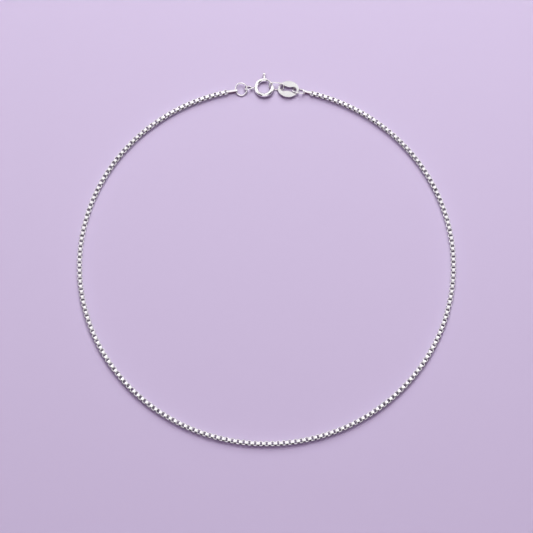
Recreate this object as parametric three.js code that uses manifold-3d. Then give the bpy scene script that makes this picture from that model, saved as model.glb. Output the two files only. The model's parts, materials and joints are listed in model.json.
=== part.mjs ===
// Silver box-chain anklet, closed and lying flat on a surface. Millimetres, +Z up, X to the right, Y away.
import * as THREE from "three";
import { mergeVertices } from "three/addons/utils/BufferGeometryUtils.js";
import Module from "manifold-3d";

const wasm = await Module();
wasm.setup();

// Driving dimensions of the loop: its whole length is the anklet's size
const LOOP_LENGTH = 279.4;
const LOOP_RADIUS = LOOP_LENGTH / (2 * Math.PI);
const CHAIN_START_DEG = 102.5;
const CHAIN_SPAN_DEG = 333.4;

// Box chain: short square links bent from strip, each turned a quarter turn to the next
const LINK_COUNT = 387;
const LINK_LENGTH = 1.02;
const LINK_WIDTH = 1.2;
const LINK_HOLE_WIDTH = 0.68;
const LINK_RIM_WIDTH = 0.58;
const LINK_PITCH = (LOOP_RADIUS * THREE.MathUtils.degToRad(CHAIN_SPAN_DEG)) / LINK_COUNT;
const LINK_END_WALL = (LINK_LENGTH - LINK_PITCH) / 2;
const CHAIN_HEIGHT = LINK_WIDTH / 2;

// End tabs: long strip loops on edge, which hold the chain's last links
const TAB_HEIGHT = 1.18;
const TAB_STRIP_WIDTH = 0.48;
const TAB_STRIP_THICKNESS = 0.2;
const TAB_OUTER_ROUND = 0.34;
const TAB_IN_LINK = 0.08;
const TAB_CORNER_STEPS = 4;
const LEFT_TAB_LENGTH = 2.96;
const RIGHT_TAB_LENGTH = 2.44;
const LEFT_TAB_TURN_DEG = 8.5;
const RIGHT_TAB_TURN_DEG = 165.5;

// Spring ring clasp, lying with its east side propped on the link that runs under it
const CLASP_CENTRE = new THREE.Vector2(-0.56, 44.64);
const CLASP_HEIGHT = 0.69;
const CLASP_TILT_DEG = -5.9;
const RING_RADIUS = 2.02;
const RING_TUBE_RADIUS = 0.48;
const RING_BORE_RADIUS = 0.29;
const RING_MOUTH_DEG = 8;
const RING_TIP_DEG = 69;
const RING_END_DEPTH = 0.3;
const RING_SIDES = 12;
const BORE_SIDES = 8;
const BORE_END_DEG = 208;
const SOCKET_END_DEG = -16;
const MOUTH_OVERLAP_DEG = 20;
const SLOT_END_DEG = 152;
const SLOT_STEPS = 10;

// Latch: a wire that slides round inside the tube, with a ball on a stem to pull it by
const LATCH_WIRE_RADIUS = 0.215;
const LATCH_TIP_DEG = 0;
const LATCH_TAIL_DEG = 138;
const STEM_RADIUS = 0.21;
const STEM_SIDES = 10;
const STEM_DEG = 90;
const STEM_REACH = 3.2;
const BALL_RADIUS = 0.45;
const BALL_SIDES = 14;
const BALL_REACH = 3.44;
const SLOT_CLEARANCE = 0.06;

// Eyelet: the small loop soldered to the west side of the spring ring
const EYELET_OFFSET = new THREE.Vector3(-3.88, -0.12, 0.316);
const EYELET_HALF_LENGTH = 0.823;
const EYELET_HALF_WIDTH = 0.68;
const EYELET_WIRE_RADIUS = 0.165;
const EYELET_TILT_DEG = -33;
const EYELET_NECK_RADIUS = 0.2;
const EYELET_NECK_LENGTH = 0.72;

// Jump ring and oval links: half length runs east-west, half width across it, to the middle of the wire.
// The tilt lifts the north side; a squareness of 2 is an ellipse, and more has straighter sides.
const JUMP_RING = {
  centre: new THREE.Vector3(-6.185, 44.208, 0.59),
  halfLength: 1.395,
  halfWidth: 1.524,
  squareness: 2,
  wireRadius: 0.18,
  tiltDeg: 13.5,
  turnDeg: 10,
};
const CLASP_LINK = {
  centre: new THREE.Vector3(2.44, 44.91, 0.826),
  halfLength: 1.75,
  halfWidth: 0.9,
  squareness: 3.47,
  wireRadius: 0.165,
  tiltDeg: 44.7,
  turnDeg: -4.6,
};
const TAG_LINK = {
  centre: new THREE.Vector3(7.884, 43.743, 0.627),
  halfLength: 1.445,
  halfWidth: 0.788,
  squareness: 3.45,
  wireRadius: 0.165,
  tiltDeg: -32.1,
  turnDeg: -11.2,
};

// Tag: an oval plate with two leaves round an S-shaped opening, alike when turned half round
const TAG_CENTRE = new THREE.Vector2(5.34, 44.2);
const TAG_HALF_LENGTH = 2.57;
const TAG_HALF_WIDTH = 2.13;
const TAG_UNDERSIDE = 0.46;
const TAG_THICKNESS = 0.38;
const TAG_BEVEL = 0.06;
const TAG_OUTLINE_STEPS = 48;
const TAG_OPENING_STEPS = 40;
const TAG_OPENING_HALF = [
  new THREE.Vector2(-1.76, 1.1),
  new THREE.Vector2(-1.27, 0.93),
  new THREE.Vector2(-0.68, 0.72),
  new THREE.Vector2(-0.1, 0.51),
  new THREE.Vector2(0.51, 0.47),
  new THREE.Vector2(1.17, 0.52),
  new THREE.Vector2(1.71, 0.29),
  new THREE.Vector2(1.97, -0.1),
  new THREE.Vector2(1.95, -0.6),
];

const WIRE_SIDES = 8;
const WIRE_LOOP_STEPS = 24;
const ARC_STEP_DEG = 9;
const UP = new THREE.Vector3(0, 0, 1);

// Unit vector in the plane of the loop at an angle counted from east
function radial(angle) {
  return new THREE.Vector3(Math.cos(angle), Math.sin(angle), 0);
}

// Geometry from a list of points and triangles
function geometryOf(points, triangles) {
  const geometry = new THREE.BufferGeometry().setFromPoints(points);
  geometry.setIndex(triangles);
  geometry.computeVertexNormals();
  return geometry;
}

// Closed geometry to a solid that can be cut and joined
function solidOf(geometry) {
  const bare = new THREE.BufferGeometry();
  bare.setAttribute("position", geometry.getAttribute("position"));
  bare.setIndex(geometry.getIndex());
  const merged = mergeVertices(bare, 1e-4);
  return new wasm.Manifold(
    new wasm.Mesh({
      numProp: 3,
      vertProperties: new Float32Array(merged.getAttribute("position").array),
      triVerts: new Uint32Array(merged.getIndex().array),
    }),
  );
}

// Solid back to a geometry
function geometryFromSolid(solid) {
  const mesh = solid.getMesh();
  const geometry = new THREE.BufferGeometry();
  geometry.setAttribute("position", new THREE.BufferAttribute(mesh.vertProperties, 3));
  geometry.setIndex(new THREE.BufferAttribute(mesh.triVerts, 1));
  geometry.computeVertexNormals();
  return geometry;
}

// Cosine or sine raised to a power, with its sign kept
function signedPower(value, power) {
  return Math.sign(value) * Math.abs(value) ** power;
}

// A circular wire bent round a closed ellipse in the XY plane, or round a squarer oval
function wireLoop(halfLength, halfWidth, wireRadius, squareness = 2) {
  const points = [];
  const triangles = [];
  const place = 2 / squareness;
  for (let step = 0; step < WIRE_LOOP_STEPS; step += 1) {
    const angle = (2 * Math.PI * step) / WIRE_LOOP_STEPS;
    const along = Math.cos(angle);
    const across = Math.sin(angle);
    const middle = new THREE.Vector3(
      halfLength * signedPower(along, place),
      halfWidth * signedPower(across, place),
      0,
    );
    const outward = new THREE.Vector3(
      halfWidth * signedPower(along, 2 - place),
      halfLength * signedPower(across, 2 - place),
      0,
    ).normalize();
    for (let side = 0; side < WIRE_SIDES; side += 1) {
      const around = (2 * Math.PI * (side + 0.5)) / WIRE_SIDES;
      const point = middle.clone();
      point.addScaledVector(outward, wireRadius * Math.cos(around));
      point.addScaledVector(UP, wireRadius * Math.sin(around));
      points.push(point);
      const nextStep = (step + 1) % WIRE_LOOP_STEPS;
      const nextSide = (side + 1) % WIRE_SIDES;
      const a = step * WIRE_SIDES + side;
      const b = nextStep * WIRE_SIDES + side;
      const c = nextStep * WIRE_SIDES + nextSide;
      const d = step * WIRE_SIDES + nextSide;
      triangles.push(a, b, c, a, c, d);
    }
  }
  return geometryOf(points, triangles);
}

// An arc of a circle in the XY plane, from one angle to another
class Arc extends THREE.Curve {
  constructor(radius, startDeg, endDeg) {
    super();
    this.radius = radius;
    this.start = THREE.MathUtils.degToRad(startDeg);
    this.span = THREE.MathUtils.degToRad(endDeg - startDeg);
  }

  getPoint(t, target = new THREE.Vector3()) {
    const angle = this.start + this.span * t;
    return target.copy(radial(angle)).multiplyScalar(this.radius);
  }
}

// A round bar along an arc
function arcBar(radius, barRadius, startDeg, endDeg, sides) {
  const section = new THREE.Shape();
  section.absarc(0, 0, barRadius, 0, 2 * Math.PI, false);
  const steps = Math.ceil((endDeg - startDeg) / ARC_STEP_DEG);
  return new THREE.ExtrudeGeometry(section, {
    steps,
    curveSegments: sides / 2,
    extrudePath: new Arc(radius, startDeg, endDeg),
  });
}

// Junction between two links: a place on the path, with its directions along and across the chain
function junction(index) {
  const start = THREE.MathUtils.degToRad(CHAIN_START_DEG);
  const angle = start + (THREE.MathUtils.degToRad(CHAIN_SPAN_DEG) * index) / LINK_COUNT;
  return {
    place: radial(angle).multiplyScalar(LOOP_RADIUS).setZ(CHAIN_HEIGHT),
    along: new THREE.Vector3(-Math.sin(angle), Math.cos(angle), 0),
    outward: radial(angle),
  };
}

// Point of a junction's frame, by distances along the chain, outward and up
function atJunction(frame, along, outward, up) {
  const point = frame.place.clone();
  point.addScaledVector(frame.along, along);
  point.addScaledVector(frame.outward, outward);
  return point.addScaledVector(UP, up);
}

// The whole chain as one body. Neighbouring links share the square where one end wall sits in the next link,
// so each link adds its eight outer corners, its rim faces and the inner faces of its two side walls.
function chainGeometry() {
  const half = LINK_HOLE_WIDTH / 2;
  const points = [];
  const triangles = [];
  const corners = [
    [-1, -1],
    [1, -1],
    [1, 1],
    [-1, 1],
  ];
  for (let index = 0; index <= LINK_COUNT; index += 1) {
    const frame = junction(index);
    for (const [outward, up] of corners) {
      points.push(atJunction(frame, 0, outward * half, up * half));
    }
  }
  const innerPoint = (index, outward, up) => {
    const corner = corners.findIndex(([o, u]) => o === outward && u === up);
    return index * corners.length + corner;
  };
  const quad = (a, b, c, d) => triangles.push(a, c, b, a, d, c);

  for (let index = 0; index < LINK_COUNT; index += 1) {
    // Even links lie flat, with their hole open upward; odd links stand on edge
    const flat = index % 2 === 0;
    const acrossAndAxis = (across, axis) => (flat ? [across, axis] : [-axis, across]);
    const ring = [
      [0, -1],
      [1, -1],
      [1, 1],
      [0, 1],
    ];
    const inner = (end, across, axis) => innerPoint(index + end, ...acrossAndAxis(across, axis));
    const firstOuter = points.length;
    for (const axis of [-1, 1]) {
      for (const [end, across] of ring) {
        const frame = junction(index + end);
        const reach = end === 0 ? -LINK_END_WALL : LINK_END_WALL;
        const [outward, up] = acrossAndAxis((across * LINK_WIDTH) / 2, (axis * LINK_RIM_WIDTH) / 2);
        points.push(atJunction(frame, reach, outward, up));
      }
    }
    const outer = (corner, axis) => firstOuter + (axis > 0 ? ring.length : 0) + corner;
    for (let corner = 0; corner < ring.length; corner += 1) {
      const next = (corner + 1) % ring.length;
      const [end, across] = ring[corner];
      const [nextEnd, nextAcross] = ring[next];
      quad(outer(corner, -1), outer(next, -1), outer(next, 1), outer(corner, 1));
      quad(outer(corner, 1), outer(next, 1), inner(nextEnd, nextAcross, 1), inner(end, across, 1));
      quad(outer(next, -1), outer(corner, -1), inner(end, across, -1), inner(nextEnd, nextAcross, -1));
    }
    for (const across of [-1, 1]) {
      const wall = [inner(0, across, -1), inner(1, across, -1), inner(1, across, 1), inner(0, across, 1)];
      quad(...(across < 0 ? wall.toReversed() : wall));
    }
  }
  const lastCorner = LINK_COUNT * corners.length;
  quad(0, 1, 2, 3);
  quad(lastCorner + 3, lastCorner + 2, lastCorner + 1, lastCorner);
  return geometryOf(points, triangles);
}

// Rounded rectangle about the origin
function roundedRectangle(path, width, height, round) {
  const x = width / 2;
  const y = height / 2;
  path.moveTo(-x + round, -y);
  path.lineTo(x - round, -y);
  path.absarc(x - round, -y + round, round, -Math.PI / 2, 0, false);
  path.lineTo(x, y - round);
  path.absarc(x - round, y - round, round, 0, Math.PI / 2, false);
  path.lineTo(-x + round, y);
  path.absarc(-x + round, y - round, round, Math.PI / 2, Math.PI, false);
  path.lineTo(-x, -y + round);
  path.absarc(-x + round, -y + round, round, Math.PI, 1.5 * Math.PI, false);
  return path;
}

// End tab on edge, with its chain end at the origin and its length along +X
function tabGeometry(length) {
  const outline = roundedRectangle(new THREE.Shape(), length, TAB_HEIGHT, TAB_OUTER_ROUND);
  const innerLength = length - 2 * TAB_STRIP_THICKNESS;
  const innerHeight = TAB_HEIGHT - 2 * TAB_STRIP_THICKNESS;
  const innerRound = TAB_OUTER_ROUND - TAB_STRIP_THICKNESS;
  outline.holes.push(roundedRectangle(new THREE.Path(), innerLength, innerHeight, innerRound));
  const geometry = new THREE.ExtrudeGeometry(outline, {
    depth: TAB_STRIP_WIDTH,
    bevelEnabled: false,
    curveSegments: TAB_CORNER_STEPS,
  });
  geometry.translate(length / 2, 0, -TAB_STRIP_WIDTH / 2);
  geometry.rotateX(Math.PI / 2);
  return geometry;
}

// The spring ring as one solid: tube with its bore, slot and mouth, and the eyelet soldered on
function springRingGeometry() {
  const endTurnDeg = THREE.MathUtils.radToDeg(RING_END_DEPTH / RING_RADIUS);
  const tubeStartDeg = RING_TIP_DEG + endTurnDeg;
  const tubeEndDeg = 360 + RING_MOUTH_DEG - endTurnDeg;
  let ring = solidOf(arcBar(RING_RADIUS, RING_TUBE_RADIUS, tubeStartDeg, tubeEndDeg, RING_SIDES));
  for (const endDeg of [tubeStartDeg, tubeEndDeg]) {
    const end = new THREE.SphereGeometry(RING_TUBE_RADIUS, RING_SIDES, RING_SIDES);
    end.scale(1, RING_END_DEPTH / RING_TUBE_RADIUS, 1);
    end.rotateZ(THREE.MathUtils.degToRad(endDeg));
    end.translate(...radial(THREE.MathUtils.degToRad(endDeg)).multiplyScalar(RING_RADIUS));
    ring = ring.add(solidOf(end));
  }
  const loop = wireLoop(EYELET_HALF_LENGTH, EYELET_HALF_WIDTH, EYELET_WIRE_RADIUS);
  loop.rotateX(THREE.MathUtils.degToRad(EYELET_TILT_DEG));
  loop.translate(...EYELET_OFFSET);
  const neck = new THREE.CylinderGeometry(
    EYELET_NECK_RADIUS,
    EYELET_NECK_RADIUS,
    EYELET_NECK_LENGTH,
    WIRE_SIDES,
  );
  neck.rotateZ(Math.PI / 2);
  const neckX = EYELET_OFFSET.x + EYELET_HALF_LENGTH + EYELET_NECK_LENGTH / 2;
  neck.translate(neckX - EYELET_WIRE_RADIUS / 2, EYELET_OFFSET.y, EYELET_OFFSET.z);
  ring = ring.add(solidOf(loop)).add(solidOf(neck));

  const boreStartDeg = RING_TIP_DEG - MOUTH_OVERLAP_DEG;
  const socketStartDeg = RING_MOUTH_DEG + MOUTH_OVERLAP_DEG;
  const bore = arcBar(RING_RADIUS, RING_BORE_RADIUS, boreStartDeg, BORE_END_DEG, BORE_SIDES);
  const socket = arcBar(RING_RADIUS, RING_BORE_RADIUS, SOCKET_END_DEG, socketStartDeg, BORE_SIDES);
  ring = ring.subtract(solidOf(bore)).subtract(solidOf(socket));

  const slotHalf = STEM_RADIUS + SLOT_CLEARANCE;
  const slotTurnDeg = THREE.MathUtils.radToDeg(slotHalf / RING_RADIUS);
  const slotStart = THREE.MathUtils.degToRad(STEM_DEG - slotTurnDeg);
  const slotSpan = THREE.MathUtils.degToRad(SLOT_END_DEG - STEM_DEG + 2 * slotTurnDeg);
  const slotOutline = [
    new THREE.Vector2(RING_RADIUS, -slotHalf),
    new THREE.Vector2(RING_RADIUS + 2 * RING_TUBE_RADIUS, -slotHalf),
    new THREE.Vector2(RING_RADIUS + 2 * RING_TUBE_RADIUS, slotHalf),
    new THREE.Vector2(RING_RADIUS, slotHalf),
  ];
  ring = ring.subtract(solidOf(sectorGeometry(slotOutline, slotStart, slotSpan)));
  return geometryFromSolid(ring);
}

// A convex profile swept part of a turn round +Z, closed at both ends
function sectorGeometry(profile, start, span) {
  const points = [];
  const triangles = [];
  for (let step = 0; step <= SLOT_STEPS; step += 1) {
    const direction = radial(start + (span * step) / SLOT_STEPS);
    for (const corner of profile) {
      points.push(direction.clone().multiplyScalar(corner.x).setZ(corner.y));
    }
  }
  const count = profile.length;
  for (let step = 0; step < SLOT_STEPS; step += 1) {
    for (let side = 0; side < count; side += 1) {
      const next = (side + 1) % count;
      const a = step * count + side;
      const b = step * count + next;
      triangles.push(a, b + count, b, a, a + count, b + count);
    }
  }
  const last = SLOT_STEPS * count;
  for (let side = 1; side < count - 1; side += 1) {
    triangles.push(0, side, side + 1);
    triangles.push(last, last + side + 1, last + side);
  }
  return geometryOf(points, triangles);
}

// The latch as one solid: sliding wire, stem and ball
function latchGeometry() {
  const wire = solidOf(arcBar(RING_RADIUS, LATCH_WIRE_RADIUS, LATCH_TIP_DEG, LATCH_TAIL_DEG, BORE_SIDES));
  const stemDirection = THREE.MathUtils.degToRad(STEM_DEG);
  const stemLength = STEM_REACH - RING_RADIUS;
  const stem = new THREE.CylinderGeometry(STEM_RADIUS, STEM_RADIUS, stemLength, STEM_SIDES);
  stem.translate(0, RING_RADIUS + stemLength / 2, 0);
  stem.rotateZ(stemDirection - Math.PI / 2);
  const ball = new THREE.SphereGeometry(BALL_RADIUS, BALL_SIDES, BALL_SIDES - 4);
  ball.translate(...radial(stemDirection).multiplyScalar(BALL_REACH));
  return geometryFromSolid(wire.add(solidOf(stem)).add(solidOf(ball)));
}

// The tag: oval plate with its S-shaped opening, lightly bevelled
function tagGeometry() {
  const outline = new THREE.Shape();
  outline.absellipse(0, 0, TAG_HALF_LENGTH - TAG_BEVEL, TAG_HALF_WIDTH - TAG_BEVEL, 0, 2 * Math.PI, false);
  const turned = TAG_OPENING_HALF.map((point) => new THREE.Vector2(-point.x, -point.y));
  const around = [...TAG_OPENING_HALF, ...turned].map((point) => new THREE.Vector3(point.x, point.y, 0));
  const opening = new THREE.CatmullRomCurve3(around, true).getSpacedPoints(TAG_OPENING_STEPS).slice(0, -1);
  outline.holes.push(new THREE.Path(opening.map((point) => new THREE.Vector2(point.x, point.y))));
  const geometry = new THREE.ExtrudeGeometry(outline, {
    depth: TAG_THICKNESS - 2 * TAG_BEVEL,
    curveSegments: TAG_OUTLINE_STEPS / 2,
    bevelThickness: TAG_BEVEL,
    bevelSize: TAG_BEVEL,
    bevelSegments: 1,
  });
  geometry.translate(0, 0, TAG_BEVEL);
  return geometry;
}

const SILVER = { color: 0xdcdce0, roughness: 0.18, metalness: 1 };

function silverMesh(name, geometry) {
  const mesh = new THREE.Mesh(geometry, new THREE.MeshStandardMaterial(SILVER));
  mesh.name = name;
  return mesh;
}

// A wire link set down at its place, its north side lifted by the tilt
function linkMesh(name, link) {
  const wire = wireLoop(link.halfLength, link.halfWidth, link.wireRadius, link.squareness);
  const mesh = silverMesh(name, wire);
  mesh.position.copy(link.centre);
  mesh.rotation.order = "ZYX";
  mesh.rotation.x = THREE.MathUtils.degToRad(link.tiltDeg);
  mesh.rotation.z = THREE.MathUtils.degToRad(link.turnDeg);
  return mesh;
}

// A tab whose end wall sits in the hole of the chain's first or last link
function tabMesh(name, length, junctionIndex, turnDeg) {
  const mesh = silverMesh(name, tabGeometry(length));
  const frame = junction(junctionIndex);
  const intoLink = junctionIndex === 0 ? TAB_IN_LINK : -TAB_IN_LINK;
  const wall = TAB_STRIP_THICKNESS * Math.sign(intoLink);
  mesh.position.copy(atJunction(frame, intoLink + wall, 0, 0));
  mesh.rotation.z = THREE.MathUtils.degToRad(turnDeg);
  return mesh;
}

const clasp = new THREE.Group();
clasp.position.set(CLASP_CENTRE.x, CLASP_CENTRE.y, CLASP_HEIGHT);
clasp.rotation.y = THREE.MathUtils.degToRad(CLASP_TILT_DEG);
clasp.add(silverMesh("spring_ring", springRingGeometry()));
clasp.add(silverMesh("latch", latchGeometry()));

const tag = silverMesh("tag", tagGeometry());
tag.position.set(TAG_CENTRE.x, TAG_CENTRE.y, TAG_UNDERSIDE);

// Everything is placed about the middle of the loop first
const loop = new THREE.Group();
loop.add(silverMesh("chain", chainGeometry()));
loop.add(tabMesh("left_end_tab", LEFT_TAB_LENGTH, 0, LEFT_TAB_TURN_DEG));
loop.add(tabMesh("right_end_tab", RIGHT_TAB_LENGTH, LINK_COUNT, RIGHT_TAB_TURN_DEG));
loop.add(linkMesh("jump_ring", JUMP_RING));
loop.add(linkMesh("clasp_link", CLASP_LINK));
loop.add(linkMesh("tag_link", TAG_LINK));
loop.add(tag);
loop.add(clasp);

// Then the loop is shifted so that the origin is the bottom centre of the anklet's box
const box = new THREE.Box3().setFromObject(loop, true);
loop.position.set(-(box.min.x + box.max.x) / 2, -(box.min.y + box.max.y) / 2, -box.min.z);

const anklet = new THREE.Group();
anklet.add(loop);

export default anklet;
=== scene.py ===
# Silver box-chain anklet with its spring ring clasp, lying closed on a pale floor. Metres, +Z up.
import json
import math

import bmesh
import bpy
from mathutils import Matrix, Vector

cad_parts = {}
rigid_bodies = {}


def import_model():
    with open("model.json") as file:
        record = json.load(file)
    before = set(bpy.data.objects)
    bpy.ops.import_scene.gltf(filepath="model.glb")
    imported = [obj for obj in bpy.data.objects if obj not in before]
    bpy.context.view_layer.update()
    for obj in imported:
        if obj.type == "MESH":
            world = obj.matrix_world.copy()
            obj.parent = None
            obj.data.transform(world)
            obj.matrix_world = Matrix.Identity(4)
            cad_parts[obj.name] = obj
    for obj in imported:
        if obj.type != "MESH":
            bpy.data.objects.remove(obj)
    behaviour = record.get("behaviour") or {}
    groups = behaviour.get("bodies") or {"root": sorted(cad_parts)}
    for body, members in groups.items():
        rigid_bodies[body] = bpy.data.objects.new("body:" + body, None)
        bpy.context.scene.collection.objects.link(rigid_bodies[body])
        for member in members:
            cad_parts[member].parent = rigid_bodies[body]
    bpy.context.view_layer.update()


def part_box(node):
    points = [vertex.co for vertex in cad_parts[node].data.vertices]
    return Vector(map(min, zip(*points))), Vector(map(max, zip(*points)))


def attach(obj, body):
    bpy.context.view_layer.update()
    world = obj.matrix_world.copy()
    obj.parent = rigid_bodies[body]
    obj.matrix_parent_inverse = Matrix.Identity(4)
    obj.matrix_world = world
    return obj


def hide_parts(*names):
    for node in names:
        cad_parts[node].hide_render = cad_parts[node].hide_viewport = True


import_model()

MM = 0.001

# Box chain: rounded square links bent from flat strip, each turned a quarter turn to the next
LINK_COUNT = 387
LINK_LENGTH = 1.0 * MM
LINK_WIDTH = 1.2 * MM
LINK_WALL = 0.16 * MM
LINK_STRIP_WIDTH = 0.7 * MM
LINK_CORNER = 0.29 * MM
LINK_EDGE = 0.05 * MM
LINK_CORNER_STEPS = 2
LINK_WOBBLE = math.radians(0.7)
CHAIN_HEIGHT = LINK_WIDTH / 2
CHAIN_START = math.radians(102.5)
CHAIN_SPAN = math.radians(333.4)
CHAIN_SEED = 7
STRIP_EDGE_STEPS = 1
STRIP_MERGE = 0.002 * MM
# Marks the faces that look into a link's hole, which the silver paints darker as painted shade and tarnish
INSIDE = "inside_of_strip"

# The loop that the chain follows, from the chain's own box
CHAIN_LOW, CHAIN_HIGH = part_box("chain")
LOOP_REACH = (CHAIN_HIGH.x - CHAIN_LOW.x) / 2
LOOP_RADIUS = LOOP_REACH - LINK_WIDTH / 2
LOOP_CENTRE = Vector(((CHAIN_LOW.x + CHAIN_HIGH.x) / 2, CHAIN_LOW.y + LOOP_REACH, 0))

# End tabs: long strip loops on edge that hold the chain's last links
TAB_HEIGHT = 1.18 * MM
TAB_STRIP_WIDTH = 0.48 * MM
TAB_STRIP_THICKNESS = 0.2 * MM
TAB_CORNER = 0.36 * MM
TAB_EDGE = 0.05 * MM
TAB_CORNER_STEPS = 6
TAB_IN_LINK = 0.08 * MM
LEFT_TAB = {"length": 2.96 * MM, "turn": math.radians(8.5), "along": 0.0, "side": 1}
RIGHT_TAB = {"length": 2.44 * MM, "turn": math.radians(165.5), "along": 1.0, "side": -1}

# Spring ring clasp, lying with its east side propped on the link that runs under it
CLASP_CENTRE = Vector((-0.56, 44.64, 0.69)) * MM
CLASP_TILT = math.radians(-5.9)
RING_RADIUS = 2.02 * MM
RING_TUBE_RADIUS = 0.48 * MM
RING_BORE_RADIUS = 0.29 * MM
RING_MOUTH = math.radians(8)
RING_TIP = math.radians(69)
RING_END_DEPTH = 0.3 * MM
BORE_OVERLAP = math.radians(20)
BORE_END = math.radians(208)
SOCKET_END = math.radians(-16)
SLOT_END = math.radians(152)
SLOT_STEPS = 20
TUBE_SIDES = 32
BAR_SIDES = 24
BAR_STEP = math.radians(4)
BAR_END_STEPS = 8

# Latch: a wire that slides round inside the tube, with a ball on a stem to pull it by
LATCH_WIRE_RADIUS = 0.215 * MM
LATCH_TIP = math.radians(0)
LATCH_TAIL = math.radians(138)
STEM_RADIUS = 0.21 * MM
STEM_TURN = math.radians(90)
BALL_RADIUS = 0.45 * MM
BALL_REACH = 3.44 * MM
BALL_SEGMENTS = 32
BALL_RINGS = 20
SLOT_CLEARANCE = 0.06 * MM

# Eyelet: the small loop soldered to the west side of the spring ring
EYELET = {"half_length": 0.823 * MM, "half_width": 0.68 * MM, "wire": 0.165 * MM, "squareness": 2.0}
EYELET_OFFSET = Vector((-3.88, -0.12, 0.316)) * MM
EYELET_TILT = math.radians(-33)
EYELET_NECK_RADIUS = 0.2 * MM
EYELET_NECK_LENGTH = 0.72 * MM

# Jump ring and oval links, with half sizes to the middle of the wire; the tilt lifts the north side
WIRE_STEPS = 96
WIRE_SIDES = 20
JUMP_RING = {"half_length": 1.395 * MM, "half_width": 1.524 * MM, "wire": 0.18 * MM, "squareness": 2.0}
JUMP_RING_PLACE = {"centre": Vector((-6.185, 44.208, 0.59)) * MM, "tilt": 13.5, "turn": 10.0}
CLASP_LINK = {"half_length": 1.75 * MM, "half_width": 0.9 * MM, "wire": 0.165 * MM, "squareness": 3.47}
CLASP_LINK_PLACE = {"centre": Vector((2.44, 44.91, 0.826)) * MM, "tilt": 44.7, "turn": -4.6}
TAG_LINK = {"half_length": 1.445 * MM, "half_width": 0.788 * MM, "wire": 0.165 * MM, "squareness": 3.45}
TAG_LINK_PLACE = {"centre": Vector((7.884, 43.743, 0.627)) * MM, "tilt": -32.1, "turn": -11.2}

# Tag: an oval plate with two leaves round an S-shaped opening, alike when turned half round
TAG_CENTRE = Vector((5.34, 44.2, 0)) * MM
TAG_HALF_LENGTH = 2.57 * MM
TAG_HALF_WIDTH = 2.13 * MM
TAG_UNDERSIDE = 0.46 * MM
TAG_THICKNESS = 0.38 * MM
TAG_EDGE = 0.09 * MM
TAG_EDGE_STEPS = 3
TAG_MERGE = 0.001 * MM
TAG_OUTLINE_STEPS = 96
TAG_OPENING_STEPS = 8
TAG_OPENING_HALF = (
    (-1.76, 1.1),
    (-1.27, 0.93),
    (-0.68, 0.72),
    (-0.1, 0.51),
    (0.51, 0.47),
    (1.17, 0.52),
    (1.71, 0.29),
    (1.97, -0.1),
    (1.95, -0.6),
)

# Camera: where the photograph was taken from
PHOTO_ELEVATION = math.radians(72.1)
PHOTO_DISTANCE = 0.53049
PHOTO_TARGET = Vector((0, -2.78, 0)) * MM
PHOTO_ANGLE = math.radians(13.638)
CAMERA_CLIP_START = 0.01

FLOOR_SIZE = 3.0
ROOM_COLOUR = (0.022, 0.016, 0.026, 1)
# Lights that fall on the card alone: a soft window from the north, and a lavender fill from all round
WINDOW_LIGHT = {
    "place": (0.03, 0.39, 0.45),
    "size": (0.36, 0.60),
    "glow": 6.1,
    "colour": (1.0, 0.99, 0.98),
}
FILL_LIGHT = {
    "place": (0.0, 0.0, 0.9),
    "size": (2.4, 2.4),
    "glow": 0.36,
    "colour": (0.93, 0.60, 1.0),
}
# White screens that show in the silver alone; the gaps between them draw its dark lines
SCREENS = {
    "top_screen": {
        "place": (0.0, 0.30, 0.80),
        "size": (0.80, 0.92),
        "glow": 1.0,
        "colour": (1.0, 1.0, 0.995),
    },
    "back_screen": {
        "place": (0.0, 0.80, 0.30),
        "size": (1.30, 0.58),
        "glow": 1.0,
        "colour": (1.0, 0.98, 1.0),
    },
    "left_screen": {
        "place": (-0.60, 0.27, 0.42),
        "size": (0.97, 0.88),
        "glow": 1.1,
        "colour": (1.0, 0.99, 1.0),
    },
    "right_screen": {
        "place": (0.60, 0.27, 0.42),
        "size": (0.97, 0.88),
        "glow": 1.1,
        "colour": (1.0, 0.99, 1.0),
    },
    "front_screen": {
        "place": (0.0, -0.52, 0.46),
        "size": (0.60, 0.76),
        "glow": 1.1,
        "colour": (1.0, 0.99, 0.985),
    },
}
SHARP_ANGLE = math.radians(40)

# Finishes: the colours of dull silver, bright silver and a dark film that is tarnish and painted shade,
# and the roughness polished and worn.
# A recess has its reach, then how open it is where the painted shade and tarnish is full and where it is
# gone.
CHAIN_SILVER = {
    "dull": (0.93, 0.92, 0.93),
    "bright": (1.0, 0.99, 0.985),
    "tarnish_and_shade": (0.20, 0.10, 0.17),
    "recess": (0.35 * MM, 0.1, 0.5),
    "polish": (0.08, 0.18),
    "ripple": 0.10,
}
CLASP_SILVER = {
    "dull": (0.92, 0.91, 0.92),
    "bright": (1.0, 0.985, 0.98),
    "tarnish_and_shade": (0.24, 0.17, 0.22),
    "recess": (1.0 * MM, 0.35, 0.85),
    "polish": (0.04, 0.12),
    "ripple": 0.08,
}
TAG_SILVER = {
    "dull": (0.74, 0.725, 0.735),
    "bright": (0.87, 0.86, 0.865),
    "tarnish_and_shade": (0.30, 0.22, 0.27),
    "recess": (1.0 * MM, 0.35, 0.85),
    "polish": (0.10, 0.22),
    "ripple": 0.20,
}
FILM_CLOUDS = {"Scale": 900.0, "Detail": 3.0, "Roughness": 0.55}
SCRATCHES = {"Scale": 1800.0, "Detail": 5.0, "Roughness": 0.7}
SCRATCH_TURN = (0.3, 0.2, 0.7)
SCRATCH_STRETCH = (1, 14, 3)
SCRATCH_LEVELS = {"From Min": 0.35, "From Max": 0.7}
RIPPLE_DEPTH = 0.01 * MM
RECESS_SAMPLES = 8
CARD = {"Base Color": (0.625, 0.57, 0.73, 1), "Roughness": 0.85, "Specular IOR Level": 0.05}
CARD_TOOTH = {"Scale": 1500.0, "Detail": 4.0}
CARD_RELIEF = {"Strength": 0.12, "Distance": 0.03 * MM}


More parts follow.
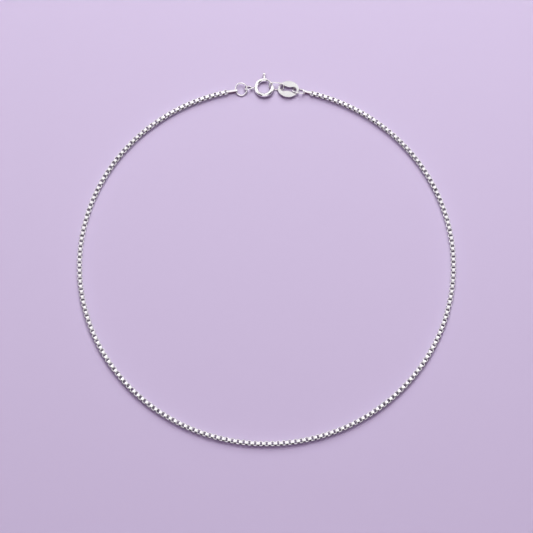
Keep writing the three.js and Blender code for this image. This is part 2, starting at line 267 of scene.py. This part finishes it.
# Node trees
class Bench:
    """A Geometry Nodes tree, laid out one node at a time."""

    def __init__(self, name, sizes):
        self.tree = bpy.data.node_groups.new(name, "GeometryNodeTree")
        self.sizes = sizes
        self.tree.interface.new_socket("Geometry", in_out="OUTPUT", socket_type="NodeSocketGeometry")
        self.names = {}
        for label, value in sizes.items():
            if isinstance(value, bpy.types.Material):
                kind = "NodeSocketMaterial"
            elif isinstance(value, int):
                kind = "NodeSocketInt"
            else:
                kind = "NodeSocketFloat"
            socket = self.tree.interface.new_socket(label, in_out="INPUT", socket_type=kind)
            self.names[label] = socket.identifier
        self.given = self.tree.nodes.new("NodeGroupInput")

    def size(self, label):
        return self.given.outputs[label]

    def add(self, kind, feeds=None, output=0, **settings):
        """A node with its settings and inputs; gives one of its outputs."""
        node = self.tree.nodes.new(kind)
        for setting, value in settings.items():
            setattr(node, setting, value)
        for place, value in (feeds or {}).items():
            if isinstance(value, bpy.types.NodeSocket):
                self.tree.links.new(value, node.inputs[place])
            else:
                node.inputs[place].default_value = value
        return node.outputs[output]

    def sum(self, operation, first, second=0.0):
        """One step of arithmetic."""
        return self.add("ShaderNodeMath", {0: first, 1: second}, operation=operation)

    def mesh(self, name, geometry):
        """Ends the tree at this geometry, and makes its plain mesh with the named sizes."""
        realized = self.add("GeometryNodeRealizeInstances", {"Geometry": geometry})
        dressed = self.add(
            "GeometryNodeSetMaterial",
            {"Geometry": realized, "Material": self.size("Finish")},
        )
        ending = self.tree.nodes.new("NodeGroupOutput")
        self.tree.links.new(dressed, ending.inputs["Geometry"])
        holder = bpy.data.objects.new(name + "_holder", bpy.data.meshes.new(name + "_holder"))
        bpy.context.scene.collection.objects.link(holder)
        nodes = holder.modifiers.new("nodes", "NODES")
        nodes.node_group = self.tree
        for label, value in self.sizes.items():
            nodes[self.names[label]] = value
        mesh = evaluated_mesh(holder, name)
        holder.modifiers.remove(nodes)
        drop(holder)
        return mesh


def evaluated_mesh(source, name):
    """The plain mesh of an object with its modifiers carried out."""
    graph = bpy.context.evaluated_depsgraph_get()
    graph.update()
    mesh = bpy.data.meshes.new_from_object(source.evaluated_get(graph))
    mesh.name = name
    return mesh


def drop(source):
    mesh = source.data
    bpy.data.objects.remove(source)
    if mesh.users == 0:
        bpy.data.meshes.remove(mesh)


def strip_ring(bench):
    """One rounded ring bent from flat strip, its hole along Z: the shape of links and tabs."""
    wall = bench.size("Wall")
    path = bench.add(
        "GeometryNodeCurvePrimitiveQuadrilateral",
        {
            "Width": bench.sum("SUBTRACT", bench.size("Length"), wall),
            "Height": bench.sum("SUBTRACT", bench.size("Height"), wall),
        },
    )
    half_wall = bench.sum("DIVIDE", wall, 2.0)
    rounded = bench.add(
        "GeometryNodeFilletCurve",
        {
            "Curve": path,
            "Radius": bench.sum("SUBTRACT", bench.size("Corner"), half_wall),
            "Count": bench.size("Corner steps"),
        },
        mode="POLY",
    )
    section = bench.add(
        "GeometryNodeCurvePrimitiveQuadrilateral",
        {"Width": wall, "Height": bench.size("Strip width")},
    )
    # Only the edges on the outside of the strip are rounded
    point = bench.add("GeometryNodeInputPosition")
    outward = bench.add("ShaderNodeSeparateXYZ", {0: point})
    outside = bench.sum("GREATER_THAN", outward, 0.0)
    strip = bench.add(
        "GeometryNodeFilletCurve",
        {
            "Curve": section,
            "Radius": bench.sum("MULTIPLY", outside, bench.size("Edge")),
            "Count": STRIP_EDGE_STEPS,
        },
        mode="POLY",
    )
    ring = bench.add("GeometryNodeCurveToMesh", {"Curve": rounded, "Profile Curve": strip})
    merged = bench.add("GeometryNodeMergeByDistance", {"Geometry": ring, "Distance": STRIP_MERGE})
    # The faces that look into the hole are marked, for the darker film there, which is painted shade and
    # tarnish
    outlook = bench.add(
        "ShaderNodeVectorMath",
        {0: bench.add("GeometryNodeInputNormal"), 1: point},
        output="Value",
        operation="DOT_PRODUCT",
    )
    marked = bench.add(
        "GeometryNodeStoreNamedAttribute",
        {"Geometry": merged, "Name": INSIDE, "Value": bench.sum("LESS_THAN", outlook, 0.0)},
        data_type="FLOAT",
        domain="FACE",
    )
    return bench.add("GeometryNodeSetShadeSmooth", {"Geometry": marked})


def chain_mesh(finish):
    """All links, set round the loop at their pitch and turned a quarter turn each."""
    bench = Bench(
        "box_chain",
        {
            "Length": LINK_LENGTH,
            "Height": LINK_WIDTH,
            "Wall": LINK_WALL,
            "Strip width": LINK_STRIP_WIDTH,
            "Corner": LINK_CORNER,
            "Corner steps": LINK_CORNER_STEPS,
            "Edge": LINK_EDGE,
            "Loop radius": LOOP_RADIUS,
            "Start": CHAIN_START,
            "Span": CHAIN_SPAN,
            "Links": LINK_COUNT,
            "Wobble": LINK_WOBBLE,
            "Seed": CHAIN_SEED,
            "Finish": finish,
        },
    )
    index = bench.add("GeometryNodeInputIndex")
    share = bench.sum("DIVIDE", bench.sum("ADD", index, 0.5), bench.size("Links"))
    turn = bench.sum("ADD", bench.sum("MULTIPLY", share, bench.size("Span")), bench.size("Start"))
    radius = bench.size("Loop radius")
    place = bench.add(
        "ShaderNodeCombineXYZ",
        {
            "X": bench.sum("MULTIPLY", bench.sum("COSINE", turn), radius),
            "Y": bench.sum("MULTIPLY", bench.sum("SINE", turn), radius),
            "Z": bench.sum("DIVIDE", bench.size("Height"), 2.0),
        },
    )
    places = bench.add("GeometryNodePoints", {"Count": bench.size("Links"), "Position": place})
    wobble = bench.tree.nodes.new("FunctionNodeRandomValue")
    wobble.data_type = "FLOAT"
    least, most, seed = wobble.inputs[2], wobble.inputs[3], wobble.inputs["Seed"]
    bench.tree.links.new(bench.sum("MULTIPLY", bench.size("Wobble"), -1.0), least)
    bench.tree.links.new(bench.size("Wobble"), most)
    bench.tree.links.new(bench.size("Seed"), seed)
    standing = bench.sum("MULTIPLY", bench.sum("MODULO", index, 2.0), math.pi / 2)
    facing = bench.add(
        "ShaderNodeCombineXYZ",
        {
            "X": bench.sum("ADD", standing, wobble.outputs[1]),
            "Z": bench.sum("ADD", turn, math.pi / 2),
        },
    )
    links = bench.add(
        "GeometryNodeInstanceOnPoints",
        {
            "Points": places,
            "Instance": strip_ring(bench),
            "Rotation": bench.add("FunctionNodeEulerToRotation", {0: facing}),
        },
    )
    mesh = bench.mesh("chain_links", links)
    mesh.transform(Matrix.Translation(LOOP_CENTRE))
    return mesh


def tab_mesh(name, tab, finish):
    """An end tab, its end wall held in the chain's first or last link."""
    bench = Bench(
        name,
        {
            "Length": tab["length"],
            "Height": TAB_HEIGHT,
            "Wall": TAB_STRIP_THICKNESS,
            "Strip width": TAB_STRIP_WIDTH,
            "Corner": TAB_CORNER,
            "Corner steps": TAB_CORNER_STEPS,
            "Edge": TAB_EDGE,
            "Finish": finish,
        },
    )
    mesh = bench.mesh(name, strip_ring(bench))
    angle = CHAIN_START + CHAIN_SPAN * tab["along"]
    direction = Vector((-math.sin(angle), math.cos(angle), 0))
    chain_end = LOOP_CENTRE + loop_point(angle) + Vector((0, 0, CHAIN_HEIGHT))
    chain_end += direction * (TAB_IN_LINK + TAB_STRIP_THICKNESS) * tab["side"]
    on_edge = Matrix.Translation((tab["length"] / 2, 0, 0)) @ Matrix.Rotation(math.pi / 2, 4, "X")
    mesh.transform(Matrix.Translation(chain_end) @ Matrix.Rotation(tab["turn"], 4, "Z") @ on_edge)
    return mesh


def wire_oval_mesh(name, oval, finish):
    """A closed oval of round wire about the origin, in the XY plane."""
    bench = Bench(
        name,
        {
            "Half length": oval["half_length"],
            "Half width": oval["half_width"],
            "Wire radius": oval["wire"],
            "Squareness": oval["squareness"],
            "Finish": finish,
        },
    )
    circle = bench.add("GeometryNodeCurvePrimitiveCircle", {"Resolution": WIRE_STEPS, "Radius": 1.0})
    axes = bench.tree.nodes.new("ShaderNodeSeparateXYZ")
    bench.tree.links.new(bench.add("GeometryNodeInputPosition"), axes.inputs[0])
    power = bench.sum("DIVIDE", 2.0, bench.size("Squareness"))
    reach = {}
    for axis, half in (("X", "Half length"), ("Y", "Half width")):
        value = axes.outputs[axis]
        size = bench.sum("POWER", bench.sum("ABSOLUTE", value), power)
        signed = bench.sum("MULTIPLY", size, bench.sum("SIGN", value))
        reach[axis] = bench.sum("MULTIPLY", signed, bench.size(half))
    place = bench.add("ShaderNodeCombineXYZ", reach)
    oval_path = bench.add("GeometryNodeSetPosition", {"Geometry": circle, "Position": place})
    even = bench.add("GeometryNodeResampleCurve", {"Curve": oval_path, "Count": WIRE_STEPS})
    section = bench.add(
        "GeometryNodeCurvePrimitiveCircle",
        {"Resolution": WIRE_SIDES, "Radius": bench.size("Wire radius")},
    )
    wire = bench.add("GeometryNodeCurveToMesh", {"Curve": even, "Profile Curve": section})
    return bench.mesh(name, bench.add("GeometryNodeSetShadeSmooth", {"Geometry": wire}))


# Shapes in mesh code
def loop_point(angle, radius=LOOP_RADIUS):
    return Vector((math.cos(angle), math.sin(angle), 0)) * radius


def set_down(place):
    """Where a wire link lies: its tilt and turn about its middle, then its place on the loop."""
    tilt = Matrix.Rotation(math.radians(place["tilt"]), 4, "X")
    turn = Matrix.Rotation(math.radians(place["turn"]), 4, "Z")
    return Matrix.Translation(LOOP_CENTRE + place["centre"]) @ turn @ tilt


def tube_mesh(name, stations, sides):
    """A closed round bar through stations of middle, outward, upward and radius."""
    shape = bmesh.new()
    rings = []
    for middle, outward, upward, radius in stations:
        if radius == 0:
            rings.append([shape.verts.new(middle)])
            continue
        ring = []
        for side in range(sides):
            around = 2 * math.pi * side / sides
            reach = outward * math.cos(around) + upward * math.sin(around)
            ring.append(shape.verts.new(middle + reach * radius))
        rings.append(ring)
    for near, far in zip(rings, rings[1:]):
        for side in range(sides):
            after = (side + 1) % sides
            if len(near) == 1:
                shape.faces.new((near[0], far[after], far[side]))
            elif len(far) == 1:
                shape.faces.new((near[side], near[after], far[0]))
            else:
                shape.faces.new((near[side], near[after], far[after], far[side]))
    return finished(name, shape)


def finished(name, shape):
    """The mesh of a closed shape, with its faces outward."""
    if shape.calc_volume(signed=True) < 0:
        bmesh.ops.reverse_faces(shape, faces=shape.faces)
    mesh = bpy.data.meshes.new(name)
    shape.to_mesh(mesh)
    shape.free()
    mesh.shade_smooth()
    return mesh


def arc_bar_mesh(name, radius, start, end, sides=BAR_SIDES, end_depth=0.0):
    """A round bar bent along the ring, with flat ends or ends rounded to the depth given."""
    turn = end_depth / RING_RADIUS
    rounding = [(0.0, 0.0)]
    if end_depth:
        for number in range(1, BAR_END_STEPS):
            lift = math.pi / 2 * number / BAR_END_STEPS
            rounding.append((turn * (1 - math.cos(lift)), radius * math.sin(lift)))
    middle = end - start - 2 * turn
    middle_steps = math.ceil(middle / BAR_STEP)
    places = [(start + offset, size) for offset, size in rounding]
    for number in range(middle_steps + 1):
        places.append((start + turn + middle * number / middle_steps, radius))
    places += [(end - offset, size) for offset, size in reversed(rounding)]
    up = Vector((0, 0, 1))
    stations = []
    for angle, size in places:
        stations.append((loop_point(angle, RING_RADIUS), loop_point(angle, 1), up, size))
    return tube_mesh(name, stations, sides)


def straight_bar_mesh(name, start, end, radius):
    """A round bar with flat ends."""
    along = (end - start).normalized()
    outward = along.orthogonal().normalized()
    upward = along.cross(outward)
    ends = ((start, 0), (start, radius), (end, radius), (end, 0))
    return tube_mesh(name, [(middle, outward, upward, size) for middle, size in ends], BAR_SIDES)


def slot_mesh(half_width):
    """The block that cuts the latch's slot through the outside of the tube."""
    turn = half_width / RING_RADIUS
    start = STEM_TURN - turn
    end = SLOT_END + turn
    beyond = RING_RADIUS + 2 * RING_TUBE_RADIUS
    corners = (
        (RING_RADIUS, -half_width),
        (beyond, -half_width),
        (beyond, half_width),
        (RING_RADIUS, half_width),
    )
    shape = bmesh.new()
    rings = []
    for number in range(SLOT_STEPS + 1):
        angle = start + (end - start) * number / SLOT_STEPS
        places = [loop_point(angle, reach) + Vector((0, 0, height)) for reach, height in corners]
        rings.append([shape.verts.new(place) for place in places])
    shape.faces.new(rings[0])
    shape.faces.new(reversed(rings[-1]))
    for near, far in zip(rings, rings[1:]):
        for corner in range(len(corners)):
            after = (corner + 1) % len(corners)
            shape.faces.new((near[after], near[corner], far[corner], far[after]))
    return finished("latch_slot", shape)


def carved(name, body, joined=(), removed=()):
    """One solid: a body with other meshes soldered on and others cut away."""
    scene = bpy.context.scene.collection.objects
    holder = bpy.data.objects.new(name + "_holder", body)
    scene.link(holder)
    helpers = []
    for operation, meshes in (("UNION", joined), ("DIFFERENCE", removed)):
        for mesh in meshes:
            helper = bpy.data.objects.new(mesh.name + "_helper", mesh)
            scene.link(helper)
            helpers.append(helper)
            cut = holder.modifiers.new(operation.lower(), "BOOLEAN")
            cut.operation = operation
            cut.solver = "EXACT"
            cut.object = helper
    mesh = evaluated_mesh(holder, name)
    for helper in [*helpers, holder]:
        drop(helper)
    return mesh


def spring_ring_mesh(finish):
    """The clasp's tube with its bore, slot and mouth, and the eyelet soldered on."""
    ring_end = 2 * math.pi + RING_MOUTH
    tube = arc_bar_mesh(
        "ring_tube", RING_TUBE_RADIUS, RING_TIP, ring_end, sides=TUBE_SIDES, end_depth=RING_END_DEPTH
    )
    bore = arc_bar_mesh("ring_bore", RING_BORE_RADIUS, RING_MOUTH + BORE_OVERLAP, BORE_END)
    socket = arc_bar_mesh("ring_socket", RING_BORE_RADIUS, SOCKET_END, RING_TIP - BORE_OVERLAP)
    slot = slot_mesh(STEM_RADIUS + SLOT_CLEARANCE)
    loop = wire_oval_mesh("eyelet", EYELET, finish)
    loop.transform(Matrix.Translation(EYELET_OFFSET) @ Matrix.Rotation(EYELET_TILT, 4, "X"))
    neck_start = EYELET_OFFSET + Vector((EYELET["half_length"] - EYELET["wire"] / 2, 0, 0))
    neck_end = neck_start + Vector((EYELET_NECK_LENGTH, 0, 0))
    neck = straight_bar_mesh("eyelet_neck", neck_start, neck_end, EYELET_NECK_RADIUS)
    return carved("spring_ring_body", tube, joined=(loop, neck), removed=(bore, socket, slot))


def latch_mesh():
    """The sliding wire with its stem and ball."""
    wire = arc_bar_mesh("latch_wire", LATCH_WIRE_RADIUS, LATCH_TIP, LATCH_TAIL)
    stem_start = loop_point(STEM_TURN, RING_RADIUS)
    stem_end = loop_point(STEM_TURN, BALL_REACH)
    stem = straight_bar_mesh("latch_stem", stem_start, stem_end, STEM_RADIUS)
    ball = bmesh.new()
    bmesh.ops.create_uvsphere(
        ball, u_segments=BALL_SEGMENTS, v_segments=BALL_RINGS, radius=BALL_RADIUS
    )
    bmesh.ops.translate(ball, verts=ball.verts, vec=stem_end)
    return carved("latch_body", wire, joined=(stem, finished("latch_ball", ball)))


def opening_outline():
    """The S-shaped opening, a smooth closed line through its named points and their half-turned copies."""
    half = [Vector((x, y, 0)) * MM for x, y in TAG_OPENING_HALF]
    knots = half + [-point for point in half]
    outline = []
    for number, knot in enumerate(knots):
        before = knots[number - 1]
        after = knots[(number + 1) % len(knots)]
        beyond = knots[(number + 2) % len(knots)]
        for step in range(TAG_OPENING_STEPS):
            t = step / TAG_OPENING_STEPS
            outline.append(
                (
                    knot * 2
                    + (after - before) * t
                    + (before * 2 - knot * 5 + after * 4 - beyond) * t**2
                    + (knot * 3 - before - after * 3 + beyond) * t**3
                )
                / 2
            )
    return outline


def tag_mesh():
    """The oval plate with its opening and softly rounded edges."""
    curve = bpy.data.curves.new("tag_outline", "CURVE")
    curve.dimensions = "2D"
    curve.fill_mode = "BOTH"
    oval = []
    for step in range(TAG_OUTLINE_STEPS):
        angle = 2 * math.pi * step / TAG_OUTLINE_STEPS
        oval.append(Vector((TAG_HALF_LENGTH * math.cos(angle), TAG_HALF_WIDTH * math.sin(angle), 0)))
    for outline in (oval, opening_outline()):
        line = curve.splines.new("POLY")
        line.points.add(len(outline) - 1)
        for point, place in zip(line.points, outline):
            point.co = (*place, 1)
        line.use_cyclic_u = True
    curve.extrude = TAG_THICKNESS / 2 - TAG_EDGE
    curve.bevel_depth = TAG_EDGE
    curve.bevel_resolution = TAG_EDGE_STEPS
    curve.offset = -TAG_EDGE
    holder = bpy.data.objects.new("tag_holder", curve)
    bpy.context.scene.collection.objects.link(holder)
    mesh = evaluated_mesh(holder, "tag_plate")
    bpy.data.objects.remove(holder)
    bpy.data.curves.remove(curve)
    shape = bmesh.new()
    shape.from_mesh(mesh)
    bpy.data.meshes.remove(mesh)
    bmesh.ops.remove_doubles(shape, verts=shape.verts, dist=TAG_MERGE)
    bmesh.ops.recalc_face_normals(shape, faces=shape.faces)
    middle = LOOP_CENTRE + TAG_CENTRE + Vector((0, 0, TAG_UNDERSIDE + TAG_THICKNESS / 2))
    bmesh.ops.translate(shape, verts=shape.verts, vec=middle)
    return finished("tag_plate", shape)


# Finishes
def silver(name, dull, bright, tarnish_and_shade, recess, polish, ripple):
    """Bright plated silver: fine scratches, uneven polish, and a darker film down in the recesses, which
    is tarnish and painted shade.
    """
    material = bpy.data.materials.new(name)
    material.use_nodes = True
    tree = material.node_tree
    shader = tree.nodes["Principled BSDF"]
    shader.inputs["Metallic"].default_value = 1.0

    def node(kind, feeds=None, **settings):
        new = tree.nodes.new(kind)
        for setting, value in settings.items():
            setattr(new, setting, value)
        for place, value in (feeds or {}).items():
            if isinstance(value, bpy.types.NodeSocket):
                tree.links.new(value, new.inputs[place])
            else:
                new.inputs[place].default_value = value
        return new

    def blend(share, first, second):
        mix = node("ShaderNodeMix", {"Factor": share}, data_type="RGBA")
        first_socket, second_socket = [socket for socket in mix.inputs if socket.type == "RGBA"]
        for socket, colour in ((first_socket, first), (second_socket, second)):
            if isinstance(colour, bpy.types.NodeSocket):
                tree.links.new(colour, socket)
            else:
                socket.default_value = (*colour, 1)
        return [socket for socket in mix.outputs if socket.type == "RGBA"][0]

    place = node("ShaderNodeTexCoord").outputs["Object"]
    clouds = node("ShaderNodeTexNoise", {"Vector": place, **FILM_CLOUDS}).outputs["Fac"]
    drawn = node(
        "ShaderNodeMapping",
        {"Vector": place, "Rotation": SCRATCH_TURN, "Scale": SCRATCH_STRETCH},
    ).outputs["Vector"]
    scratches = node("ShaderNodeTexNoise", {"Vector": drawn, **SCRATCHES}).outputs["Fac"]

    # Painted shade with tarnish: where ambient occlusion finds a recess, and on faces that look into a
    # hole, the base colour goes to the dark film colour
    reach, shut, clear = recess
    openness = node(
        "ShaderNodeAmbientOcclusion", {"Distance": reach}, samples=RECESS_SAMPLES
    ).outputs["AO"]
    depth = node(
        "ShaderNodeMapRange",
        {"Value": openness, "From Min": shut, "From Max": clear, "To Min": 0.0, "To Max": 1.0},
    ).outputs["Result"]
    inside = node("ShaderNodeAttribute", attribute_name=INSIDE).outputs["Fac"]
    outside = node("ShaderNodeMath", {0: 1.0, 1: inside}, operation="SUBTRACT").outputs[0]
    untarnished_unshaded = node("ShaderNodeMath", {0: depth, 1: outside}, operation="MINIMUM").outputs[0]
    film = blend(clouds, dull, bright)
    tree.links.new(blend(untarnished_unshaded, tarnish_and_shade, film), shader.inputs["Base Color"])

    worn = node(
        "ShaderNodeMapRange",
        {"Value": scratches, "To Min": polish[0], "To Max": polish[1], **SCRATCH_LEVELS},
    ).outputs["Result"]
    tree.links.new(worn, shader.inputs["Roughness"])

    surface = node("ShaderNodeMath", {0: clouds, 1: scratches}, operation="ADD").outputs[0]
    bump = node("ShaderNodeBump", {"Height": surface, "Strength": ripple, "Distance": RIPPLE_DEPTH})
    tree.links.new(bump.outputs["Normal"], shader.inputs["Normal"])
    return material


def floor_finish():
    """Pale lavender card with a faint tooth."""
    material = bpy.data.materials.new("pale_card")
    material.use_nodes = True
    tree = material.node_tree
    shader = tree.nodes["Principled BSDF"]
    place = tree.nodes.new("ShaderNodeTexCoord")
    tooth = tree.nodes.new("ShaderNodeTexNoise")
    bump = tree.nodes.new("ShaderNodeBump")
    for dressed, values in ((shader, CARD), (tooth, CARD_TOOTH), (bump, CARD_RELIEF)):
        for label, value in values.items():
            dressed.inputs[label].default_value = value
    tree.links.new(place.outputs["Object"], tooth.inputs["Vector"])
    tree.links.new(tooth.outputs["Fac"], bump.inputs["Height"])
    tree.links.new(bump.outputs["Normal"], shader.inputs["Normal"])
    return material


# Pieces
def piece(name, mesh, body, node, finish):
    """A finished piece that rides on a body and stands for a CAD node."""
    mesh.materials.clear()
    mesh.materials.append(finish)
    mesh.polygons.foreach_set("material_index", [0] * len(mesh.polygons))
    mesh.set_sharp_from_angle(angle=SHARP_ANGLE)
    made = bpy.data.objects.new(name, mesh)
    bpy.context.scene.collection.objects.link(made)
    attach(made, body)
    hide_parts(node)


def dress_anklet():
    chain_finish = silver("bright_chain_silver", **CHAIN_SILVER)
    clasp_finish = silver("polished_clasp_silver", **CLASP_SILVER)
    tag_finish = silver("worn_tag_silver", **TAG_SILVER)

    piece("chain_links", chain_mesh(chain_finish), "anklet", "chain", chain_finish)
    left_tab = tab_mesh("left_tab_strip", LEFT_TAB, chain_finish)
    piece("left_tab_strip", left_tab, "anklet", "left_end_tab", chain_finish)
    right_tab = tab_mesh("right_tab_strip", RIGHT_TAB, chain_finish)
    piece("right_tab_strip", right_tab, "anklet", "right_end_tab", chain_finish)

    for name, oval, place, node in (
        ("jump_ring_wire", JUMP_RING, JUMP_RING_PLACE, "jump_ring"),
        ("clasp_link_wire", CLASP_LINK, CLASP_LINK_PLACE, "clasp_link"),
        ("tag_link_wire", TAG_LINK, TAG_LINK_PLACE, "tag_link"),
    ):
        wire = wire_oval_mesh(name, oval, clasp_finish)
        wire.transform(set_down(place))
        piece(name, wire, "anklet", node, clasp_finish)

    clasp_place = Matrix.Translation(LOOP_CENTRE + CLASP_CENTRE) @ Matrix.Rotation(CLASP_TILT, 4, "Y")
    ring = spring_ring_mesh(clasp_finish)
    ring.transform(clasp_place)
    piece("spring_ring_body", ring, "anklet", "spring_ring", clasp_finish)
    latch = latch_mesh()
    latch.transform(clasp_place)
    piece("latch_body", latch, "latch", "latch", clasp_finish)

    piece("tag_plate", tag_mesh(), "anklet", "tag", tag_finish)


# Floor, light and camera
def aim(thing, place, target):
    thing.location = place
    thing.rotation_euler = (target - place).to_track_quat("-Z", "Y").to_euler()


def soft_box(name, place, size, glow, colour, in_silver):
    """A flat light aimed at the loop's middle, seen either in the silver or on the card."""
    light = bpy.data.lights.new(name, "AREA")
    light.shape = "RECTANGLE"
    light.size, light.size_y = size
    light.energy = glow * math.pi * size[0] * size[1]
    light.color = colour
    lamp = bpy.data.objects.new(name, light)
    bpy.context.scene.collection.objects.link(lamp)
    aim(lamp, Vector(place), Vector((0, 0, 0)))
    lamp.visible_camera = False
    lamp.visible_diffuse = not in_silver
    lamp.visible_glossy = in_silver


def set_stage():
    shape = bmesh.new()
    bmesh.ops.create_grid(shape, x_segments=1, y_segments=1, size=FLOOR_SIZE / 2)
    mesh = bpy.data.meshes.new("floor")
    shape.to_mesh(mesh)
    shape.free()
    mesh.materials.append(floor_finish())
    floor = bpy.data.objects.new("floor", mesh)
    bpy.context.scene.collection.objects.link(floor)

    world = bpy.data.worlds.new("studio")
    world.use_nodes = True
    bpy.context.scene.world = world
    world.node_tree.nodes["Background"].inputs["Color"].default_value = ROOM_COLOUR

    soft_box("window_light", in_silver=False, **WINDOW_LIGHT)
    soft_box("fill_light", in_silver=False, **FILL_LIGHT)
    for name, screen in SCREENS.items():
        soft_box(name, in_silver=True, **screen)

    camera_data = bpy.data.cameras.new("photo_camera")
    camera_data.sensor_fit = "HORIZONTAL"
    camera_data.angle = PHOTO_ANGLE
    camera_data.clip_start = CAMERA_CLIP_START
    camera = bpy.data.objects.new("photo_camera", camera_data)
    bpy.context.scene.collection.objects.link(camera)
    back = Vector((0, -math.cos(PHOTO_ELEVATION), math.sin(PHOTO_ELEVATION)))
    aim(camera, PHOTO_TARGET + back * PHOTO_DISTANCE, PHOTO_TARGET)
    bpy.context.scene.camera = camera
    bpy.context.scene.view_settings.view_transform = "Standard"


dress_anklet()
set_stage()
